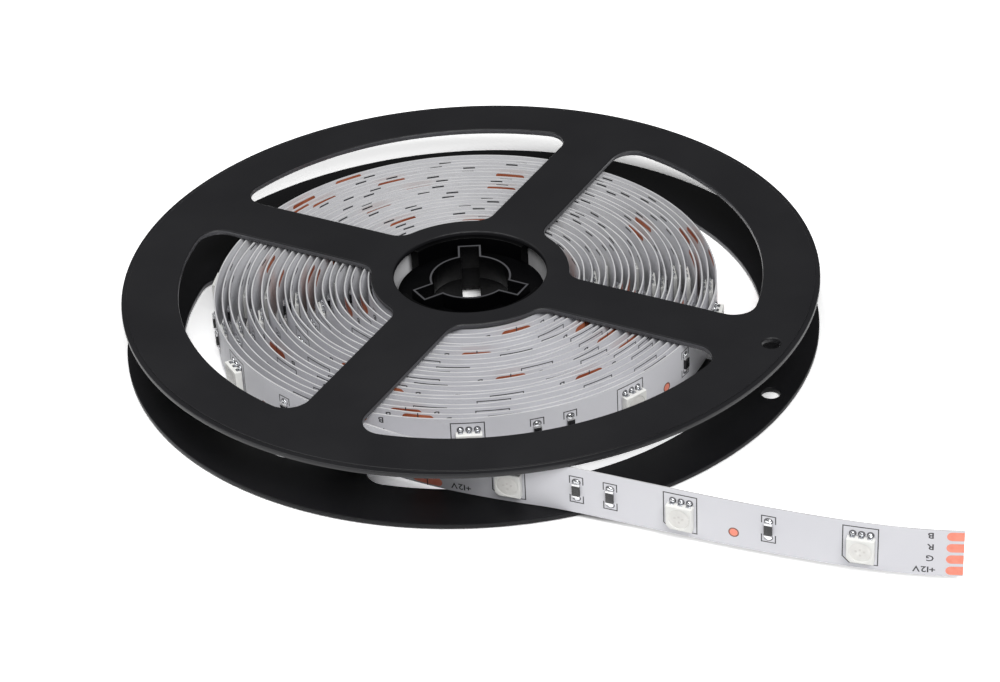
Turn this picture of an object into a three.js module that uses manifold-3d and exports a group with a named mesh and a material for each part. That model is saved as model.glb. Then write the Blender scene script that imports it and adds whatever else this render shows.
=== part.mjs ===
// A five metre flexible light strip wound on a two-part plastic reel, with its free end drawn out.
// Millimetres, +Z up, the reel lying flat. Angles are in degrees, counted from +X towards +Y.
import * as THREE from "three";
import { mergeVertices } from "three/addons/utils/BufferGeometryUtils.js";
import Module from "manifold-3d";

const wasm = await Module();
wasm.setup();

// Reel
const reelRadius = 70;
const flangeThickness = 1.2;
const rimStepWidth = 1.0;
const rimStepDepth = 0.25;
const spokeCount = 4;
const spokeWidth = 12.4;
const spokeAzimuth = 60.8;
const windowOuterRadius = 58.6;
const windowInnerRadius = 20;
const windowOuterCorner = 4.5;
const windowInnerCorner = 4;
const tapeHoleRadius = 1.8;
const tapeHoleInset = 4.4;
const tapeHoleSpoke = 3;

// Hub, moulded on each reel half
const hubHoleRadius = 15.4;
const drumInnerRadius = 14.2;
const drumOuterRadius = 16.2;
const drumRecess = 0.8;
const drumGapHalfAngle = 33.5;
const drumGapAzimuths = [9, 171];
const webTopDepth = 4.4;
const webThickness = 1.2;
const arborRadius = 7.7;
const arborWall = 0.6;
const arborRecess = 1.3;
const keyCount = 3;
const keyAzimuth = 90;
const keyWidth = 3.7;
const keyReach = 11.6;

// Strip
const stripLength = 5000;
const stripWidth = 10;
const stripThickness = 0.3;
const stripSideClearance = 0.15;
const windingClearance = 0.4;
const windingRadius = 50.9;
const windingSlack = 1;
const slackAzimuth = 225;

// Free end: where it leaves the winding, the point it bends through under the rim, and where it ends
const departureAzimuth = 225;
const tailLeavingReach = 23.5;
const tailMiddle = new THREE.Vector2(11.2, -65.4);
const tailMiddleHeading = -18.5;
const tailMiddleReachBack = 17.5;
const tailMiddleReachAhead = 12.5;
const tailEnd = new THREE.Vector2(84.9, -93);
const tailEndHeading = -6;
const tailArrivingReach = 24;

// Lights and resistors along the strip
const lightPitch = 100 / 3;
const firstLightAt = 18;
const lightSize = 5;
const lightHeight = 1.6;
const lightRaise = -0.4;
const woundLightHeight = 0.7;
const lightLegWidth = 0.9;
const lightLegReach = 0.5;
const lightLegHeight = 0.4;
const lightLegPitch = 1.6;
const resistorWidth = 1.6;
const resistorLength = 3.2;
const resistorHeight = 0.55;
const resistorRaise = 0.2;
const resistorsAfterFirstLight = [16.9, 47.1, 53.7];
const cutLength = 3 * lightPitch;
const lightsBeforeJoint = 7;
const jointOverlap = 5.7;
const openTurns = 0.9;
const seatGap = 0.05;

// Faceting
const rimSides = 84;
const boreSides = 42;
const keySides = 30;
const tapeHoleSides = 16;
const coarseSteps = 4;
const fineSteps = 6;
const fineBelowRadius = 26;

const reelHeight = 2 * flangeThickness + 2 * stripSideClearance + stripWidth;
const midHeight = reelHeight / 2;
const overshoot = 2;

const plastic = new THREE.MeshStandardMaterial({ color: 0x26262a, roughness: 0.5, metalness: 0 });
const ribbon = new THREE.MeshStandardMaterial({ color: 0xd6d6dc, roughness: 0.45, metalness: 0 });
const lightBody = new THREE.MeshStandardMaterial({ color: 0xecebe6, roughness: 0.35, metalness: 0 });
const resistorBody = new THREE.MeshStandardMaterial({ color: 0x1b1b1e, roughness: 0.4, metalness: 0 });

const radians = (degrees) => (degrees * Math.PI) / 180;
const polar = (radius, degrees) =>
  new THREE.Vector2(radius * Math.cos(radians(degrees)), radius * Math.sin(radians(degrees)));

function solid(geometry) {
  const bare = geometry.clone();
  for (const name of Object.keys(bare.attributes)) {
    if (name !== "position") {
      bare.deleteAttribute(name);
    }
  }
  const merged = mergeVertices(bare, 1e-4);
  const mesh = new wasm.Mesh({
    numProp: 3,
    vertProperties: new Float32Array(merged.attributes.position.array),
    triVerts: new Uint32Array(merged.index.array),
  });
  return new wasm.Manifold(mesh);
}

function geometryOf(manifold) {
  const mesh = manifold.getMesh();
  const geometry = new THREE.BufferGeometry();
  geometry.setAttribute("position", new THREE.BufferAttribute(new Float32Array(mesh.vertProperties), 3));
  geometry.setIndex(new THREE.BufferAttribute(new Uint32Array(mesh.triVerts), 1));
  geometry.computeVertexNormals();
  return geometry;
}

function named(name, geometry, material) {
  const mesh = new THREE.Mesh(geometry, material);
  mesh.name = name;
  return mesh;
}

function extruded(points, bottom, top) {
  const geometry = new THREE.ExtrudeGeometry(new THREE.Shape(points), {
    depth: top - bottom,
    bevelEnabled: false,
  });
  geometry.translate(0, 0, bottom);
  return geometry;
}

// A ring of rectangular or stepped section, turned about the reel's axis.
function turned(profile, sides) {
  const closed = [...profile, profile[0]].map(([radius, height]) => new THREE.Vector2(radius, height));
  return new THREE.LatheGeometry(closed, sides).rotateX(Math.PI / 2);
}

function ring(inner, outer, bottom, top, sides) {
  return turned([[inner, bottom], [outer, bottom], [outer, top], [inner, top]], sides);
}

function cylinder(radius, bottom, top, sides) {
  return new THREE.CylinderGeometry(radius, radius, top - bottom, sides)
    .rotateX(Math.PI / 2)
    .translate(0, 0, (bottom + top) / 2);
}

function arcPoints(centre, radius, from, to, steps) {
  const points = [];
  for (let step = 0; step <= steps; step += 1) {
    points.push(polar(radius, from + ((to - from) * step) / steps).add(centre));
  }
  return points;
}

// Outline of one window, between the spoke along +X and the next one, counter-clockwise.
function windowOutline() {
  const half = spokeWidth / 2;
  const next = 360 / spokeCount;
  const outerOffset = half + windowOuterCorner;
  const innerOffset = half + windowInnerCorner;
  const outerAngle = THREE.MathUtils.radToDeg(Math.asin(outerOffset / (windowOuterRadius - windowOuterCorner)));
  const innerAngle = THREE.MathUtils.radToDeg(Math.asin(innerOffset / (windowInnerRadius + windowInnerCorner)));
  const outerCentre = polar(windowOuterRadius - windowOuterCorner, outerAngle);
  const innerCentre = polar(windowInnerRadius + windowInnerCorner, innerAngle);
  const farOuter = polar(windowOuterRadius - windowOuterCorner, next - outerAngle);
  const farInner = polar(windowInnerRadius + windowInnerCorner, next - innerAngle);
  const origin = new THREE.Vector2();
  return [
    ...arcPoints(outerCentre, windowOuterCorner, -90, outerAngle, 5),
    ...arcPoints(origin, windowOuterRadius, outerAngle, next - outerAngle, 16).slice(1, -1),
    ...arcPoints(farOuter, windowOuterCorner, next - outerAngle, next + 90, 5),
    ...arcPoints(farInner, windowInnerCorner, next + 90, 180 + next - innerAngle, 4),
    ...arcPoints(origin, windowInnerRadius, next - innerAngle, innerAngle, 6).slice(1, -1),
    ...arcPoints(innerCentre, windowInnerCorner, 180 + innerAngle, 270, 4),
  ];
}

// Flat disc with a stepped rim edge, its windows, its hub hole and the small hole at the rim.
function flange() {
  const bottom = reelHeight - flangeThickness;
  const stepRadius = reelRadius - rimStepWidth;
  let disc = solid(
    turned(
      [
        [hubHoleRadius, bottom],
        [reelRadius, bottom],
        [reelRadius, reelHeight - rimStepDepth],
        [stepRadius, reelHeight - rimStepDepth],
        [stepRadius, reelHeight],
        [hubHoleRadius, reelHeight],
      ],
      rimSides,
    ),
  );
  const cutter = extruded(windowOutline(), bottom - overshoot, reelHeight + overshoot);
  for (let spoke = 0; spoke < spokeCount; spoke += 1) {
    const azimuth = spokeAzimuth + (spoke * 360) / spokeCount;
    disc = disc.subtract(solid(cutter.clone().rotateZ(radians(azimuth))));
  }
  const tapeHoleCentre = polar(reelRadius - tapeHoleInset, spokeAzimuth + (tapeHoleSpoke * 360) / spokeCount);
  const tapeHole = cylinder(tapeHoleRadius, bottom - overshoot, reelHeight + overshoot, tapeHoleSides);
  return disc.subtract(solid(tapeHole.translate(tapeHoleCentre.x, tapeHoleCentre.y, 0)));
}

function wedge(azimuth, halfAngle, reach, bottom, top) {
  const points = [
    new THREE.Vector2(),
    polar(reach, azimuth - halfAngle),
    polar(reach, azimuth),
    polar(reach, azimuth + halfAngle),
  ];
  return extruded(points, bottom, top);
}

// The wall that the strip is wound on, open at both sides.
function drum() {
  const top = reelHeight - drumRecess;
  let wall = solid(ring(drumInnerRadius, drumOuterRadius, midHeight, top, boreSides));
  for (const azimuth of drumGapAzimuths) {
    const opening = wedge(azimuth, drumGapHalfAngle, 2 * drumOuterRadius, midHeight - overshoot,
      reelHeight - flangeThickness);
    wall = wall.subtract(solid(opening));
  }
  return wall;
}

// Round bore with its key slots, as a plain prism grown by an offset.
function keyedPrism(offset, bottom, top) {
  let prism = solid(cylinder(arborRadius + offset, bottom, top, keySides));
  for (let key = 0; key < keyCount; key += 1) {
    const reach = keyReach + offset;
    const slot = new THREE.BoxGeometry(reach, keyWidth + 2 * offset, top - bottom);
    slot.translate(reach / 2, 0, (bottom + top) / 2).rotateZ(radians(keyAzimuth + (key * 360) / keyCount));
    prism = prism.add(solid(slot));
  }
  return prism;
}

// One reel half, drawn as the upper one: flange, drum wall, web and keyed arbor tube down to mid height.
function reelHalf() {
  const webTop = reelHeight - webTopDepth;
  const web = solid(ring(arborRadius / 2, drumInnerRadius + arborWall, webTop - webThickness, webTop, boreSides));
  const tube = keyedPrism(arborWall, midHeight, reelHeight - arborRecess);
  const bore = keyedPrism(0, midHeight - overshoot, reelHeight + overshoot);
  return flange().add(drum()).add(web).add(tube).subtract(bore);
}

// The winding: radius at a turning angle, counted back from where the free end leaves.
const windingInnerRadius = drumOuterRadius + windingClearance;
const departure = polar(windingRadius + windingSlack * Math.cos(radians(departureAzimuth - slackAzimuth)),
  departureAzimuth);
const departureHeading = departureAzimuth + 90;
const tail = new THREE.CurvePath();
tail.add(new THREE.CubicBezierCurve(
  departure,
  departure.clone().add(polar(tailLeavingReach, departureHeading)),
  tailMiddle.clone().sub(polar(tailMiddleReachBack, tailMiddleHeading)),
  tailMiddle,
));
tail.add(new THREE.CubicBezierCurve(
  tailMiddle,
  tailMiddle.clone().add(polar(tailMiddleReachAhead, tailMiddleHeading)),
  tailEnd.clone().sub(polar(tailArrivingReach, tailEndHeading)),
  tailEnd,
));
const woundLength = stripLength - tail.getLength();
const windingPitch = (Math.PI * (windingRadius ** 2 - windingInnerRadius ** 2)) / woundLength;

function windingPoint(turnedBack) {
  const azimuth = departureAzimuth - turnedBack;
  const plain = windingRadius - (windingPitch * turnedBack) / 360;
  const share = (plain - windingInnerRadius) / (windingRadius - windingInnerRadius);
  return polar(plain + windingSlack * share ** 2 * Math.cos(radians(azimuth - slackAzimuth)), azimuth);
}

// The strip's middle line from its free end inwards, finely sampled, with the distance run at each point.
function middleLine() {
  const points = tail.getPoints(200).reverse();
  const turns = (windingRadius - windingInnerRadius) / windingPitch;
  for (let turnedBack = 1; turnedBack < turns * 360; turnedBack += 1) {
    points.push(windingPoint(turnedBack));
  }
  const run = [0];
  for (let index = 1; index < points.length; index += 1) {
    run.push(run[index - 1] + points[index].distanceTo(points[index - 1]));
  }
  return { points, run, length: run[run.length - 1] };
}

const line = middleLine();

function pointAt(distance) {
  let low = 0;
  let high = line.run.length - 1;
  while (high - low > 1) {
    const middle = (low + high) >> 1;
    if (line.run[middle] > distance) {
      high = middle;
    } else {
      low = middle;
    }
  }
  const share = (distance - line.run[low]) / (line.run[high] - line.run[low]);
  return line.points[low].clone().lerp(line.points[high], share);
}

// Distances of the lights from the free end. A soldered joint, where two lengths overlap, shortens one gap.
function lightsAlong(length) {
  const distances = [];
  for (let light = 0; distances.length === light; light += 1) {
    const distance = firstLightAt + light * lightPitch - (light < lightsBeforeJoint ? 0 : jointOverlap);
    if (distance < length - lightPitch / 2) {
      distances.push(distance);
    }
  }
  return distances;
}

const lightDistances = lightsAlong(line.length);

// Corner stations of the faceted strip: each light sits at the middle of a flat facet.
function stations() {
  const distances = [0];
  for (const [light, centre] of lightDistances.entries()) {
    const steps = pointAt(centre).length() < fineBelowRadius ? fineSteps : coarseSteps;
    const facet = lightPitch / steps;
    const following = lightDistances[light + 1] ?? centre + lightPitch;
    const start = centre + facet / 2;
    const end = following - facet / 2;
    for (let step = 0; step < steps; step += 1) {
      distances.push(start + ((end - start) * step) / (steps - 1));
    }
  }
  return distances.filter((distance) => distance < line.length);
}

const corners = stations();
const cornerPoints = corners.map(pointAt);

// Unit vector away from the winding's inside, square to the strip, at a corner of its middle line.
function outwardAt(index) {
  const before = cornerPoints[Math.max(index - 1, 0)];
  const after = cornerPoints[Math.min(index + 1, cornerPoints.length - 1)];
  const along = after.clone().sub(before).normalize();
  return new THREE.Vector2(-along.y, along.x);
}

// Frame of a piece on the strip's outer face at a distance from the free end.
function seatAt(distance) {
  let index = 0;
  while (corners[index + 1] < distance) {
    index += 1;
  }
  const start = cornerPoints[index];
  const end = cornerPoints[index + 1];
  const share = (distance - corners[index]) / (corners[index + 1] - corners[index]);
  const along = end.clone().sub(start).normalize();
  const outward = new THREE.Vector2(-along.y, along.x);
  const foot = start.clone().lerp(end, share).addScaledVector(outward, stripThickness / 2);
  const matrix = new THREE.Matrix4().makeBasis(
    new THREE.Vector3(-along.x, -along.y, 0),
    new THREE.Vector3(0, 0, 1),
    new THREE.Vector3(outward.x, outward.y, 0),
  );
  matrix.setPosition(foot.x, foot.y, midHeight);
  return matrix;
}

function stripSolid() {
  const half = stripThickness / 2;
  const outer = cornerPoints.map((point, index) => point.clone().addScaledVector(outwardAt(index), half));
  const inner = cornerPoints.map((point, index) => point.clone().addScaledVector(outwardAt(index), -half));
  const bottom = flangeThickness + stripSideClearance;
  return solid(extruded([...outer, ...inner.reverse()], bottom, bottom + stripWidth));
}

// A light of the inner turns, which is one solid with the strip.
function woundLight(distance) {
  const sink = stripThickness / 2;
  const block = new THREE.BoxGeometry(lightSize, lightSize, woundLightHeight + sink);
  return block.translate(0, lightRaise, (woundLightHeight - sink) / 2).applyMatrix4(seatAt(distance));
}

// A square light body with three soldered legs at its upper and lower side.
function lightGeometry(distance) {
  let body = solid(new THREE.BoxGeometry(lightSize, lightSize, lightHeight).translate(0, 0, lightHeight / 2));
  for (const side of [-1, 1]) {
    for (const place of [-1, 0, 1]) {
      const leg = new THREE.BoxGeometry(lightLegWidth, 2 * lightLegReach, lightLegHeight);
      leg.translate(place * lightLegPitch, (side * lightSize) / 2, lightLegHeight / 2);
      body = body.add(solid(leg));
    }
  }
  return geometryOf(body).translate(0, lightRaise, seatGap).applyMatrix4(seatAt(distance));
}

function resistorGeometry(distance) {
  const body = new THREE.BoxGeometry(resistorWidth, resistorLength, resistorHeight);
  return body.translate(0, resistorRaise, resistorHeight / 2 + seatGap).applyMatrix4(seatAt(distance));
}

// Distances of the pieces on the strip, as far as it is open to the outside: the free end and the last turn.
const openLength = tail.getLength() + openTurns * 2 * Math.PI * windingRadius;
const openLights = lightDistances.filter((distance) => distance < openLength);
const woundLights = lightDistances.slice(openLights.length);

// Resistors lie at the same places of each cut length; the cut lengths start anew at the soldered joint.
function resistorsFrom(firstLight, end) {
  const found = [];
  for (let start = firstLight; start < end; start += cutLength) {
    found.push(...resistorsAfterFirstLight.map((offset) => start + offset));
  }
  return found.filter((distance) => distance < end);
}

const jointLight = lightDistances[lightsBeforeJoint];
const openResistors = [
  ...resistorsFrom(firstLightAt, lightDistances[lightsBeforeJoint - 1]),
  ...resistorsFrom(jointLight, openLength),
];

function strip() {
  let ribbonSolid = stripSolid();
  for (const distance of woundLights) {
    ribbonSolid = ribbonSolid.add(solid(woundLight(distance)));
  }
  return geometryOf(ribbonSolid);
}

function build() {
  const reel = new THREE.Group();
  const upper = reelHalf();
  const lower = upper.mirror([0, 0, 1]).translate([0, 0, reelHeight]);
  reel.add(named("upper_reel_half", geometryOf(upper), plastic));
  reel.add(named("lower_reel_half", geometryOf(lower), plastic));
  reel.add(named("led_strip", strip(), ribbon));
  openLights.forEach((distance, index) => {
    const number = String(index + 1).padStart(2, "0");
    reel.add(named(`led_${number}`, lightGeometry(distance), lightBody));
  });
  openResistors.forEach((distance, index) => {
    const number = String(index + 1).padStart(2, "0");
    reel.add(named(`resistor_${number}`, resistorGeometry(distance), resistorBody));
  });
  return reel;
}

// The origin is the middle of the whole outline, at the underside.
const reel = build();
const extent = new THREE.Box3().setFromObject(reel);
const middle = extent.getCenter(new THREE.Vector3());
reel.position.set(-middle.x, -middle.y, -extent.min.z);

const part = new THREE.Group();
part.add(reel);

export default part;
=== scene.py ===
"""The looks of a reel of flexible light strip: camera, light, fine meshes and materials.

Sizes are in millimetres in the reel's own frame (its axis at x = y = 0, underside at z = 0) and become
metres in the row frame when a mesh is made. Angles are in degrees from +X towards +Y. Distances along the
strip run inwards from its free end.
"""
import math

import bpy
import numpy as np
from mathutils import Matrix, Vector
from mathutils.geometry import tessellate_polygon


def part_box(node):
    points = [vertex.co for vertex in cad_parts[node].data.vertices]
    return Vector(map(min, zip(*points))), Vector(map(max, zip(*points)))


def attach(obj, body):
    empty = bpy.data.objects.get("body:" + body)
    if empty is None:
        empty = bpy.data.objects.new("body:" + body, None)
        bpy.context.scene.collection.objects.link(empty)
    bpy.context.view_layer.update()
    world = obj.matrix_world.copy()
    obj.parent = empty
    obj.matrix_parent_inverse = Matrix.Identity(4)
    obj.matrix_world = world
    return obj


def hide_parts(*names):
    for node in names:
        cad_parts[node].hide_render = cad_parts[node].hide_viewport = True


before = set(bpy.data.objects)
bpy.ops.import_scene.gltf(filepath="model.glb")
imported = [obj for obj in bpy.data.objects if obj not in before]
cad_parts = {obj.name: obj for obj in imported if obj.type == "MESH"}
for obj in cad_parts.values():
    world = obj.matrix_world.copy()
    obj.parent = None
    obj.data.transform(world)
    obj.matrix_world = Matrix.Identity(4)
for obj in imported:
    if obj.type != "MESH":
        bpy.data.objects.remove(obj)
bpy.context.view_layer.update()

MM = 0.001

# Reel, as in the solids
REEL_RADIUS = 70
FLANGE_THICKNESS = 1.2
RIM_STEP_WIDTH = 1.0
RIM_STEP_DEPTH = 0.25
SPOKE_COUNT = 4
SPOKE_WIDTH = 12.4
SPOKE_AZIMUTH = 60.8
WINDOW_OUTER_RADIUS = 58.6
WINDOW_INNER_RADIUS = 20
WINDOW_OUTER_CORNER = 4.5
WINDOW_INNER_CORNER = 4
TAPE_HOLE_RADIUS = 1.8
TAPE_HOLE_AT = 65.6
TAPE_HOLE_SPOKE = 3
HUB_HOLE_RADIUS = 15.4
DRUM_INNER_RADIUS = 14.2
DRUM_OUTER_RADIUS = 16.2
DRUM_RECESS = 0.8
DRUM_GAP_HALF_ANGLE = 33.5
DRUM_GAP_AZIMUTHS = (9, 171)
WEB_TOP_DEPTH = 4.4
WEB_THICKNESS = 1.2
ARBOR_RADIUS = 7.7
ARBOR_WALL = 0.6
ARBOR_RECESS = 1.3
KEY_COUNT = 3
KEY_AZIMUTH = 90
KEY_WIDTH = 3.7
KEY_REACH = 11.6

# Strip, as in the solids
STRIP_LENGTH = 5000
STRIP_WIDTH = 10
STRIP_THICKNESS = 0.3
STRIP_SIDE_CLEARANCE = 0.15
WINDING_CLEARANCE = 0.4
WINDING_RADIUS = 50.9
WINDING_SLACK = 1
SLACK_AZIMUTH = 225
DEPARTURE_AZIMUTH = 225
TAIL_LEAVING_REACH = 23.5
TAIL_MIDDLE = (11.2, -65.4)
TAIL_MIDDLE_HEADING = -18.5
TAIL_MIDDLE_REACH_BACK = 17.5
TAIL_MIDDLE_REACH_AHEAD = 12.5
TAIL_END = (84.9, -93)
TAIL_END_HEADING = -6
TAIL_ARRIVING_REACH = 24
LIGHT_PITCH = 100 / 3
FIRST_LIGHT_AT = 18
RESISTORS_AFTER_FIRST_LIGHT = (16.9, 47.1, 53.7)
LIGHTS_BEFORE_JOINT = 7
JOINT_OVERLAP = 5.7
OPEN_TURNS = 0.9
CUT_LENGTH = 3 * LIGHT_PITCH

REEL_HEIGHT = 2 * FLANGE_THICKNESS + 2 * STRIP_SIDE_CLEARANCE + STRIP_WIDTH
MID_HEIGHT = REEL_HEIGHT / 2

# Bevels and fineness of the reel's meshes
EDGE_BEVEL = 0.16
WINDOW_BEVEL = 0.34
RIM_BEVEL_MIDDLE = 0.3
RIM_STEP_FILLET = 0.05
RIM_STEP_TOP_WIDTH = 0.1
RIM_STEP_TOP_DROP = 0.09
RIM_STEP_TOP_MIDDLE = 0.03
DRUM_BEVEL = 0.1
WEB_BEVEL = 0.1
WEB_HOLE_BEVEL = 0.02
WEB_HOLE_IN_WALL = 0.9
TUBE_BEVEL = 0.12
BEVEL_STEPS = 3
SMALL_BEVEL_STEPS = 2
SHARPEST_MITRE = 0.5
RIM_SIDES = 288
HUB_SIDES = 120
TAPE_HOLE_SIDES = 40
OUTER_CORNER_STEPS = 14
OUTER_ARC_STEPS = 56
INNER_CORNER_STEPS = 8
INNER_ARC_STEPS = 20
KEY_ARC_STEPS = 24
DRUM_ARC_STEPS = 40
REEL_SMOOTH_ANGLE = 30
STRIP_SMOOTH_ANGLE = 40
PRINT_SMOOTH_ANGLE = 35
LEVEL = 0.9999
WALL_STEEPNESS = 0.35
WALL_MARGIN = 1
ON_FLANGE, ON_SHADED_HUB, ON_PAINTED_LIGHT = range(3)

# Materials: the middle range of the noise, which the finishes spread over, and its detail
NOISE_LOW = 0.3
NOISE_HIGH = 0.7
DRIFT_DETAIL = 3
GRAIN_DETAIL = 2

# Run of the strip. Each wave is (height, radians per unit, phase).
TAIL_STEPS = 260
TURN_STEP = 0.5
STATION_STEP = 1.1
STRIP_BEVEL = 0.05
TANGENT_REACH = 0.6
STRAYING = ((0.14, 1 + 1 / 5.3, 0), (0.15, 3.37, 0.6), (0.12, 7.43, 2.1), (0.05, 12.7, 0.3))
STRAYING_FADE = 500
LIFTING = ((0.06, 1 / 47, 0), (0.05, 1 / 19, 1))
LIFTING_FADE = 150
INNER_END_MARGIN = 5
SHIFTED_CUT_NEAR = 429
CUT_SHIFT = 6

# Lights. Blocks are (width, height, underside, top, bevel), domes (width, height, rise), and fineness is
# (sides of the solder, rings of the solder, sides of the flux).
LIGHT_SIZE = 5
LIGHT_UP = -0.4
LIGHT_BASE = 0.12
LIGHT_HEIGHT = 1.6
LIGHT_BEVEL = 0.12
LIGHT_CORNER = 0.8
WOUND_LIGHT = (LIGHT_SIZE, LIGHT_SIZE, 0.02, 0.85, 0.1)
LENS_HOLE_RADIUS = 2.05
LENS_HOLE_SIDES = 40
LENS_HOLE_BEVEL = 0.1
LENS_RADIUS = 2.06
LENS_SIDES = 32
LENS_DEPTH = 0.13
LENS_RISE = 0.04
DIE_BLOCK = (0.42, 0.42, 0, 0.02, 0.004)
DIE_DEPTH = 0.105
DIE_PLACES = ((-0.75, 0.1), (0.0, 0.45), (0.75, 0.1), (0.05, -0.7))
LEG_BLOCK = (0.9, 0.24, 0.1, 0.95, 0.05)
LEG_PITCH = 1.6
LEG_OUTSIDE = 0.02
LEG_SOLDER = (0.98, 0.95, 0.5)
LEG_FLUX = (1.38, 1.32, 0.1)
LEG_SOLDER_OUTSIDE = 0.44
OPEN_FINENESS = (12, 5, 14)
WOUND_FINENESS = (8, 3, 8)
SOLDER_OUT = 0.02
FLUX_OUT = 0.01
FLUX_RINGS = 2

# Resistors
RESISTOR_UP = 0.2
CHIP_BLOCK = (1.5, 2.2, 0.06, 0.58, 0.06)
CHIP_END_BLOCK = (1.54, 0.46, 0.05, 0.56, 0.08)
CHIP_END_AT = 1.3
CHIP_SOLDER = (1.4, 1.15, 0.34)
CHIP_FLUX = (1.75, 1.5, 0.08)
CHIP_SOLDER_AT = 1.75
CHIP_FINENESS = (12, 4, 14)

# Printed legend
LEGEND_OUT = 0.012
LEGEND_LINE = 0.2
LEGEND_STEP = 0.9
LIGHT_BOX_LEFT = -3.4
LIGHT_BOX_RIGHT = 2.95
LIGHT_BOX_LOW = -4.0
LIGHT_BOX_HIGH = 3.95
LIGHT_BOX_CORNER = 1.2
WOUND_BOX_HIGH = 4.3
WOUND_BOX_ARM = 2
CHIP_BOX_HALF = 1.3
CHIP_BOX_LOW = -2.6
CHIP_BOX_HIGH = 3.1
CHIP_BOX_ARM = 1.5
# Painted shadow: dark dashes on the backs of the wound turns, at each light and chip.
GAP_SHADOW_UP = 4.45
GAP_SHADOW_HALF = 1.1
GAP_SHADOW_LINE = 0.34
LETTER_HEIGHT = 1.25
LETTER_HEIGHT_IN_TYPE = 0.7
LETTER_STRETCH = 1.15
LETTER_GAP = 0.14
LETTER_BOLDNESS = 0.016
LETTER_CURVE_STEPS = 2
LETTER_AT = 5.9
WORD_AT = 6.9
ALL_NAMES_WITHIN = 200
CUT_LINE_SHORT = 0.1

# Bare copper
COPPER_OUT = 0.008
PAD_LENGTH = 3.1
PAD_WIDTH = 1.85
PAD_UPS = (3.72, 1.24, -1.24, -3.72)
PAD_NAMES = ("B", "R", "G", "+12V")
PAD_END_ANGLES = (20, 40, 60, 75, 88)
BACK_PAD_UP = 4.2
BACK_PAD_WIDTH = 1.0
DOT_AFTER_FIRST_LIGHT = 23.4
DOT_UP = -1.9
DOT_RADIUS = 0.78
# The ring round the test dot is a painted shadow.
DOT_SHADOW_RADIUS = 1.02
DOT_SIDES = 20

# Camera, in the reel's frame: worked out from the rim's two ellipses, the spokes and the strip's width.
# The offset is the reel's origin seen from the camera: to the right, down and ahead.
CAMERA_FOCAL_PX = 2981.9
CAMERA_ELEVATION = 32.911
CAMERA_ROLL = -2.909
CAMERA_OFFSET = (-5.48, -3.43, 605.94)
CAMERA_NEAREST = 0.01
IMAGE_WIDTH_PX = 1000
SENSOR_WIDTH = 36

# Stage and light, in metres and watts. The tone or strength seen is for the camera's rays, and the floor's
# for glossy rays as well. Lamps are (name, place, width, height, watts).
FLOOR_HALF = 6.0
FLOOR_TONE = 0.8
FLOOR_TONE_SEEN = 1.6
WORLD_STRENGTH = 0.14
WORLD_STRENGTH_SEEN = 1.0
LAMPS = (
    ("top_lamp", (-0.35, 0.05, 0.95), 0.6, 0.6, 4.6),
    ("front_lamp", (0.2, -0.68, 0.82), 0.6, 0.5, 8.8),
)

axis_low, axis_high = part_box("upper_reel_half")
AXIS = np.array([(axis_low[0] + axis_high[0]) / 2, (axis_low[1] + axis_high[1]) / 2, 0]) / MM


# Materials


def new_material(name):
    material = bpy.data.materials.new(name)
    material.use_nodes = True
    tree = material.node_tree
    return material, tree, tree.nodes["Principled BSDF"]


def add_noise(tree, scale, detail):
    """Noise in object space, with scale per metre."""
    coordinates = tree.nodes.new("ShaderNodeTexCoord")
    noise = tree.nodes.new("ShaderNodeTexNoise")
    noise.inputs["Scale"].default_value = scale
    noise.inputs["Detail"].default_value = detail
    tree.links.new(coordinates.outputs["Object"], noise.inputs["Vector"])
    return noise.outputs["Fac"]


def map_range(tree, source, low, high, from_low=NOISE_LOW, from_high=NOISE_HIGH):
    node = tree.nodes.new("ShaderNodeMapRange")
    node.inputs["From Min"].default_value = from_low
    node.inputs["From Max"].default_value = from_high
    node.inputs["To Min"].default_value = low
    node.inputs["To Max"].default_value = high
    tree.links.new(source, node.inputs["Value"])
    return node.outputs["Result"]


def mix_colours(tree, source, low, high):
    node = tree.nodes.new("ShaderNodeMix")
    node.data_type = "RGBA"
    node.inputs["A"].default_value = (*low, 1)
    node.inputs["B"].default_value = (*high, 1)
    tree.links.new(source, node.inputs["Factor"])
    return node.outputs["Result"]


def add_bump(tree, shader, source, distance):
    bump = tree.nodes.new("ShaderNodeBump")
    bump.inputs["Distance"].default_value = distance
    bump.inputs["Strength"].default_value = 1
    tree.links.new(source, bump.inputs["Height"])
    tree.links.new(bump.outputs["Normal"], shader.inputs["Normal"])


def surface(name, low, high, rough_low, rough_high, scale, bump=0.0, bump_scale=0.0, metallic=0.0, coat=0.0,
            specular=0.5):
    """A moulded or printed surface: colour and gloss drift with noise, and fine grain raises it."""
    material, tree, shader = new_material(name)
    drift = add_noise(tree, scale, DRIFT_DETAIL)
    tree.links.new(mix_colours(tree, map_range(tree, drift, 0, 1), low, high), shader.inputs["Base Color"])
    tree.links.new(map_range(tree, drift, rough_low, rough_high), shader.inputs["Roughness"])
    shader.inputs["Metallic"].default_value = metallic
    shader.inputs["Coat Weight"].default_value = coat
    shader.inputs["Specular IOR Level"].default_value = specular
    if bump:
        add_bump(tree, shader, add_noise(tree, bump_scale, GRAIN_DETAIL), bump)
    return material


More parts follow.
